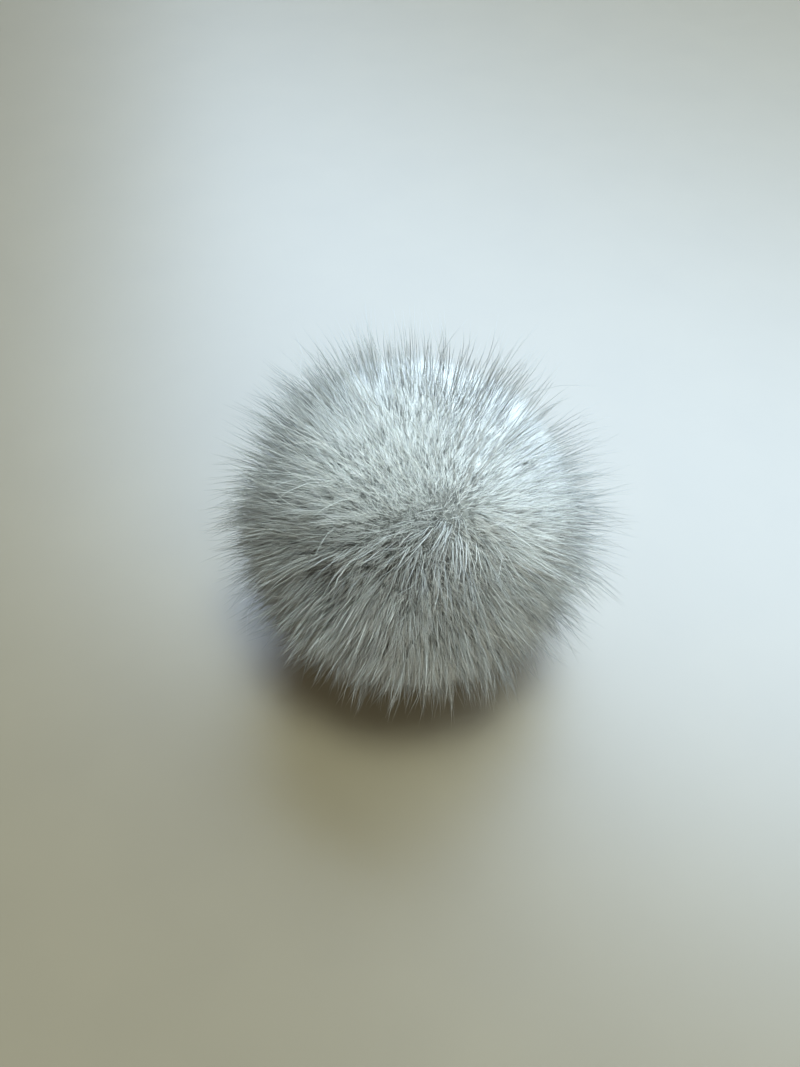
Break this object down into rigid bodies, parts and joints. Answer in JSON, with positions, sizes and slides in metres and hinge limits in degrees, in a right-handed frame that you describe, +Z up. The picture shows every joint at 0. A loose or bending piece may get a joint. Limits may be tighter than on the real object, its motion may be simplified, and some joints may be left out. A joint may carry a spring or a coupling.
{
  "type": "fur pom pom",
  "caption": "Round fur pom pom: a ball of dense pale fur with longer hair standing out of it all over, resting on a flat spot.",
  "frame": {"origin": "on the surface that the fur rests on, under the middle of its outer box", "axes": "+Z up through the ball; -Y faces the side with the crown, a high spot that the hair is brushed out from on all sides"},
  "size_m": [0.0584, 0.0596, 0.0515],
  "materials": {
    "fur": "soft pale grey-white fur, dense underfur and glossier guard hair"
  },
  "bodies": {
    "root": {"fur_ball": "fur"}
  },
  "joints": []
}
